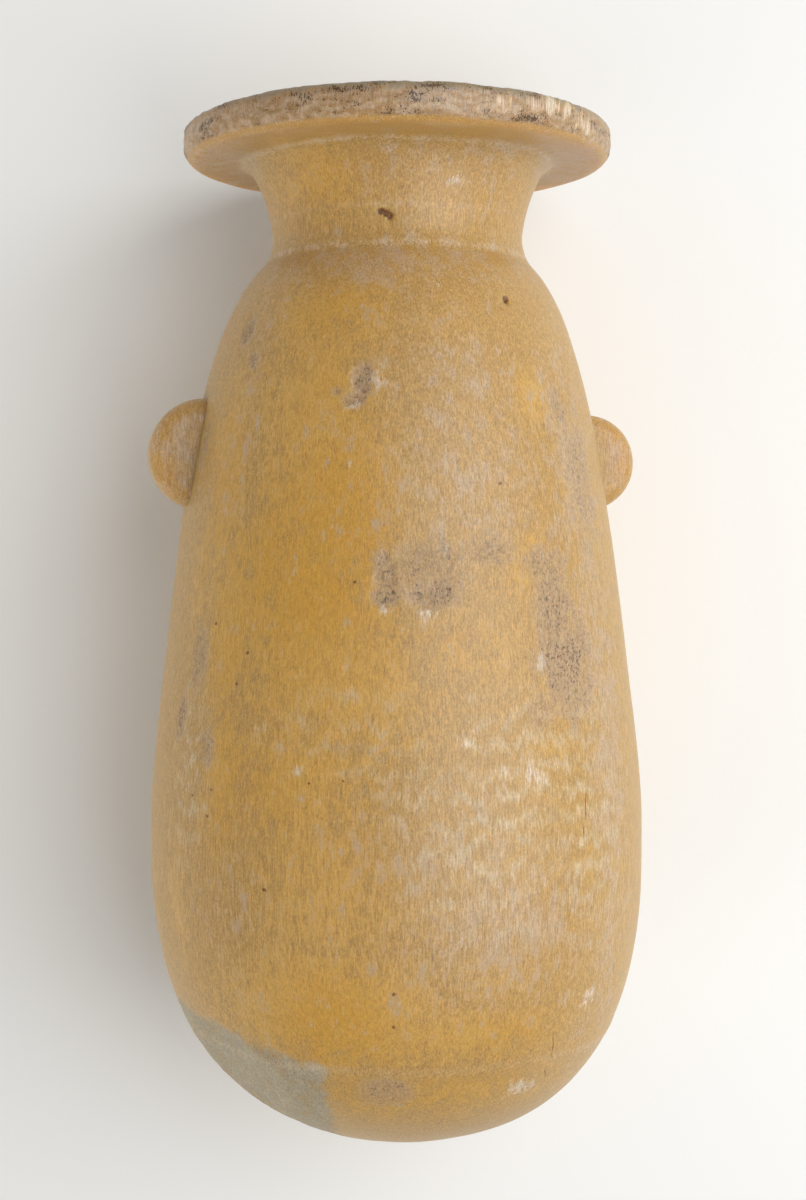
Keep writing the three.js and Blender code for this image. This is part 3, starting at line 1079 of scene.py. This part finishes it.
for share, tint in ((chip_share, RIM_PALE), (upper_edge_reflection, RIM_REFLECTION_GREY), (specks, SPECK_DARK)):
    rim_colour = add(stone, "ShaderNodeMix", {0: share, 6: rim_colour, 7: tint}, 2, data_type="RGBA")
edge = zone("rim_edge", chips, breaking=0.6, low=0.2, high=0.8)
bare = add(stone, "ShaderNodeMath", {0: 1.0, 1: scuff_here}, operation="SUBTRACT")
edge_share = add(stone, "ShaderNodeMath", {0: edge, 1: bare}, operation="MULTIPLY")
surface = add(stone, "ShaderNodeMix", {0: edge_share, 6: surface, 7: rim_colour}, 2, data_type="RGBA")
print("with the rim", len(stone.nodes), "nodes")

# %% [markdown]
# A few pale lines go right round the flask where a tool was held against it: under the rim, on
# the neck, at its foot and near the underside. Each is given by a pixel that it runs through,
# half its width in mm and how pale it is. The stone's own patterns sway, fray and interrupt it.

# %% Turned lines
TURNED_LINES = (
    ((430, 136), 0.45, 0.85),
    ((345, 206), 0.7, 0.35),
    ((430, 243), 0.95, 1.0),
    (TURNED_LINE_PIXEL, 1.1, 0.4),
)
LINE_SWAY = 1.2
LINE_FRAY = 0.5
PALE_LINE = colour("#CDB595")

line = 0.0
wavy = along_mm
for pattern, shift in ((broad, LINE_SWAY), (fibre, LINE_FRAY)):
    wavy = add(stone, "ShaderNodeMath", {0: pattern, 1: shift, 2: wavy}, operation="MULTIPLY_ADD")
for pixel, width, paleness in TURNED_LINES:
    middle = on_stone(*pixel)[1] + (LINE_SWAY + LINE_FRAY) / 2
    offset = add(stone, "ShaderNodeMath", {0: wavy, 1: middle}, operation="SUBTRACT")
    distance = add(stone, "ShaderNodeMath", {0: offset}, operation="ABSOLUTE")
    ends = {"Value": distance, "From Min": width, "From Max": 0.0, "To Max": paleness}
    one_line = add(stone, "ShaderNodeMapRange", ends, interpolation_type="SMOOTHSTEP")
    line = add(stone, "ShaderNodeMath", {0: one_line, 1: line}, operation="MAXIMUM")
ends = {"Value": mottle, "From Min": 0.38, "From Max": 0.6, "To Max": 0.9}
interrupted = add(stone, "ShaderNodeMapRange", ends)
line_share = add(stone, "ShaderNodeMath", {0: line, 1: interrupted}, operation="MULTIPLY")
surface = add(stone, "ShaderNodeMix", {0: line_share, 6: surface, 7: PALE_LINE}, 2, data_type="RGBA")
print(len(TURNED_LINES), "turned lines")

# %% [markdown]
# Pinholes, pits and hairline cracks hold dark red-brown dirt. Each is a small column through the
# skin, and the nearest one decides how dark a place is. Soft noise bends them a little, so that
# none is quite round or straight.

# %% Pits, pinholes and hairlines
PIT_BROWN = colour("#703F20")
HOLE_REACH = 6.0
HOLE_DARKNESS = 0.8
HOLE_FRAY = 0.8
BEND_LENGTH = 2.0
BEND_WIDTH = np.array((0.7, 0.7, 0))
BEYOND_ANY_HOLE = 2.0

bends = {"Vector": flask_mm, "Scale": 1 / BEND_LENGTH, "Detail": 4.0}
bend = add(stone, "ShaderNodeTexNoise", bends, "Color")
terms = {0: bend, 1: BEND_WIDTH, 2: flask_mm}
bent_mm = add(stone, "ShaderNodeVectorMath", terms, operation="MULTIPLY_ADD")
nearest = BEYOND_ANY_HOLE
for mark in PINHOLES + HAIRLINES + PITS:
    size = [mark[2] * PIXEL, mark[3] * PIXEL, HOLE_REACH]
    middle = on_stone(mark[0], mark[1]) + BEND_WIDTH / 2
    ends = {"Vector": bent_mm, "Location": [-m / s for m, s in zip(middle, size)]}
    ends["Scale"] = [1 / length for length in size]
    column = add(stone, "ShaderNodeMapping", ends)
    distance = add(stone, "ShaderNodeVectorMath", {0: column}, "Value", operation="LENGTH")
    nearest = add(stone, "ShaderNodeMath", {0: distance, 1: nearest}, operation="MINIMUM")
terms = {0: speckle, 1: HOLE_FRAY, 2: nearest}
frayed = add(stone, "ShaderNodeMath", terms, operation="MULTIPLY_ADD")
ends = {"Value": frayed, "From Min": 1.7, "From Max": 1.0, "To Max": HOLE_DARKNESS}
hole_share = add(stone, "ShaderNodeMapRange", ends, interpolation_type="SMOOTHSTEP")
surface = add(stone, "ShaderNodeMix", {0: hole_share, 6: surface, 7: PIT_BROWN}, 2, data_type="RGBA")
print(len(PINHOLES) + len(HAIRLINES) + len(PITS), "small holes")

# %% [markdown]
# Last, the fibres and the speckle vary the brightness of everything a little, less where the
# stone is clear. Light that enters calcite scatters and comes out some millimetres away, red
# further than blue, which subsurface scattering gives. Sound stone keeps a soft polish, with the
# usual index of calcite, and weathered stone is rough. A pattern's mean is about a half, so half
# of what each adds is taken off again.

# %% The stone's shader
FIBRE_SHADE = 1.0
SPECKLE_SHADE = 0.95
CLEAR_CONTRAST = 0.55
CLOUDY_CONTRAST = 0.95
CALCITE_IOR = 1.55
POLISHED_ROUGHNESS = 0.42
WEATHERED_ROUGHNESS = 0.72
FIBRE_RELIEF = 0.3
RELIEF_STRENGTH = 0.4
RELIEF_DEPTH = 0.12 * MM
SCATTER_SHARE = 0.75
SCATTER_DISTANCE = 7 * MM
SCATTER_COLOUR = (1.0, 0.5, 0.22)

terms = {0: cloudy, 1: CLOUDY_CONTRAST - CLEAR_CONTRAST, 2: CLEAR_CONTRAST}
fineness = add(stone, "ShaderNodeMath", terms, operation="MULTIPLY_ADD")
shade = 1 - 0.5 * (FIBRE_SHADE + SPECKLE_SHADE)
for pattern, contrast in ((fibre, FIBRE_SHADE), (speckle, SPECKLE_SHADE)):
    terms = {0: pattern, 1: contrast, 2: shade}
    shade = add(stone, "ShaderNodeMath", terms, operation="MULTIPLY_ADD")
shade = add(stone, "ShaderNodeMath", {0: shade, 1: 1.0}, operation="SUBTRACT")
shade = add(stone, "ShaderNodeMath", {0: shade, 1: fineness, 2: 1.0}, operation="MULTIPLY_ADD")
surface = add(stone, "ShaderNodeHueSaturation", {"Color": surface, "Value": shade})
dry = add(stone, "ShaderNodeMath", {0: patch_share, 1: heel_share}, operation="MAXIMUM")
terms = {0: dry, 1: WEATHERED_ROUGHNESS - POLISHED_ROUGHNESS, 2: POLISHED_ROUGHNESS}
rough = add(stone, "ShaderNodeMath", terms, operation="MULTIPLY_ADD")
relief = add(stone, "ShaderNodeMath", {0: dry, 1: speckle}, operation="MULTIPLY")
terms = {0: fibre, 1: FIBRE_RELIEF, 2: relief}
relief = add(stone, "ShaderNodeMath", terms, operation="MULTIPLY_ADD")
bumps = {"Height": relief, "Strength": RELIEF_STRENGTH, "Distance": RELIEF_DEPTH}
normal = add(stone, "ShaderNodeBump", bumps)
shader = add(
    stone,
    "ShaderNodeBsdfPrincipled",
    {
        "Base Color": surface,
        "Roughness": rough,
        "IOR": CALCITE_IOR,
        "Subsurface Weight": SCATTER_SHARE,
        "Subsurface Radius": SCATTER_COLOUR,
        "Subsurface Scale": SCATTER_DISTANCE,
        "Normal": normal,
    },
)
add(stone, "ShaderNodeOutputMaterial", {"Surface": shader})
flask.data.materials.clear()
flask.data.materials.append(calcite)
print("the stone's material has", len(stone.nodes), "nodes")

# %% [markdown]
# The flask lies on plain pale paper. One large soft window-like light on the right throws the
# wide, soft shadow on the left. A pale wall low on the left gives some of it back, as the
# photograph's bright left flank and rim show, and an even pale surround fills the rest. The wall
# makes no highlight, because a real one is far wider and dimmer than the light that stands for it.

# %% Paper, light and surround
PAPER_SIZE = 3.0
PAPER_WHITE = colour("#FBFBF9")
PAPER_ROUGHNESS = 0.9
PAPER_SHEEN = 0.2
PAPER_GRAINS_PER_MM = 0.9
PAPER_RELIEF = 0.1 * MM
SURROUND_WHITE = colour("#FAFAF8")
WINDOW_SIZE = 0.6
WINDOW_DISTANCE = 0.55
WINDOW_HEIGHT = math.radians(53)
WINDOW_BEARING = math.radians(10)
WINDOW_POWER = 3.0
WALL_SIZE = 0.4
WALL_DISTANCE = 0.8
WALL_HEIGHT = math.radians(9)
WALL_BEARING = math.radians(205)
WALL_POWER = 2.95
SURROUND_LIGHT = 0.32

bpy.ops.mesh.primitive_plane_add(size=PAPER_SIZE, location=(0, 0, 0))
paper = bpy.context.object
paper.name = "paper"
paper_material = new_material("matt_white_paper")
sheet = paper_material.node_tree
paper_place = add(sheet, "ShaderNodeTexCoord", output="Object")
lumps = {"Vector": paper_place, "Scale": PAPER_GRAINS_PER_MM / MM, "Detail": 2.0}
paper_grain = add(sheet, "ShaderNodeTexNoise", lumps)
bumps = {"Height": paper_grain, "Strength": 0.15, "Distance": PAPER_RELIEF}
paper_normal = add(sheet, "ShaderNodeBump", bumps)
finish = {
    "Base Color": PAPER_WHITE,
    "Roughness": PAPER_ROUGHNESS,
    "Specular IOR Level": PAPER_SHEEN,
    "Normal": paper_normal,
}
paper_shader = add(sheet, "ShaderNodeBsdfPrincipled", finish)
add(sheet, "ShaderNodeOutputMaterial", {"Surface": paper_shader})
paper.data.materials.append(paper_material)


def add_light(name, size, distance, height, bearing, power):
    """A square soft light that faces the flask, by its height and bearing as angles."""
    data = bpy.data.lights.new(name, "AREA")
    data.shape = "SQUARE"
    data.size = size
    data.energy = power
    light = bpy.data.objects.new(name, data)
    bpy.context.scene.collection.objects.link(light)
    light.matrix_world = (
        Matrix.Rotation(bearing, 4, "Z")
        @ Matrix.Rotation(math.radians(90) - height, 4, "Y")
        @ Matrix.Translation((0, 0, distance))
    )
    return light


add_light("window", WINDOW_SIZE, WINDOW_DISTANCE, WINDOW_HEIGHT, WINDOW_BEARING, WINDOW_POWER)
wall = add_light("pale_wall", WALL_SIZE, WALL_DISTANCE, WALL_HEIGHT, WALL_BEARING, WALL_POWER)
wall.visible_glossy = False

world = bpy.data.worlds.new("surround")
world.use_nodes = True
backdrop = world.node_tree.nodes["Background"]
backdrop.inputs["Color"].default_value = SURROUND_WHITE
backdrop.inputs["Strength"].default_value = SURROUND_LIGHT
bpy.context.scene.world = world
bpy.context.scene.view_settings.view_transform = "Standard"
print("window", WINDOW_POWER, "W at", WINDOW_DISTANCE, "m")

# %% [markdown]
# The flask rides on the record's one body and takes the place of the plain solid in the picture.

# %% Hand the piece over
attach(flask, "root")
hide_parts("alabastron")
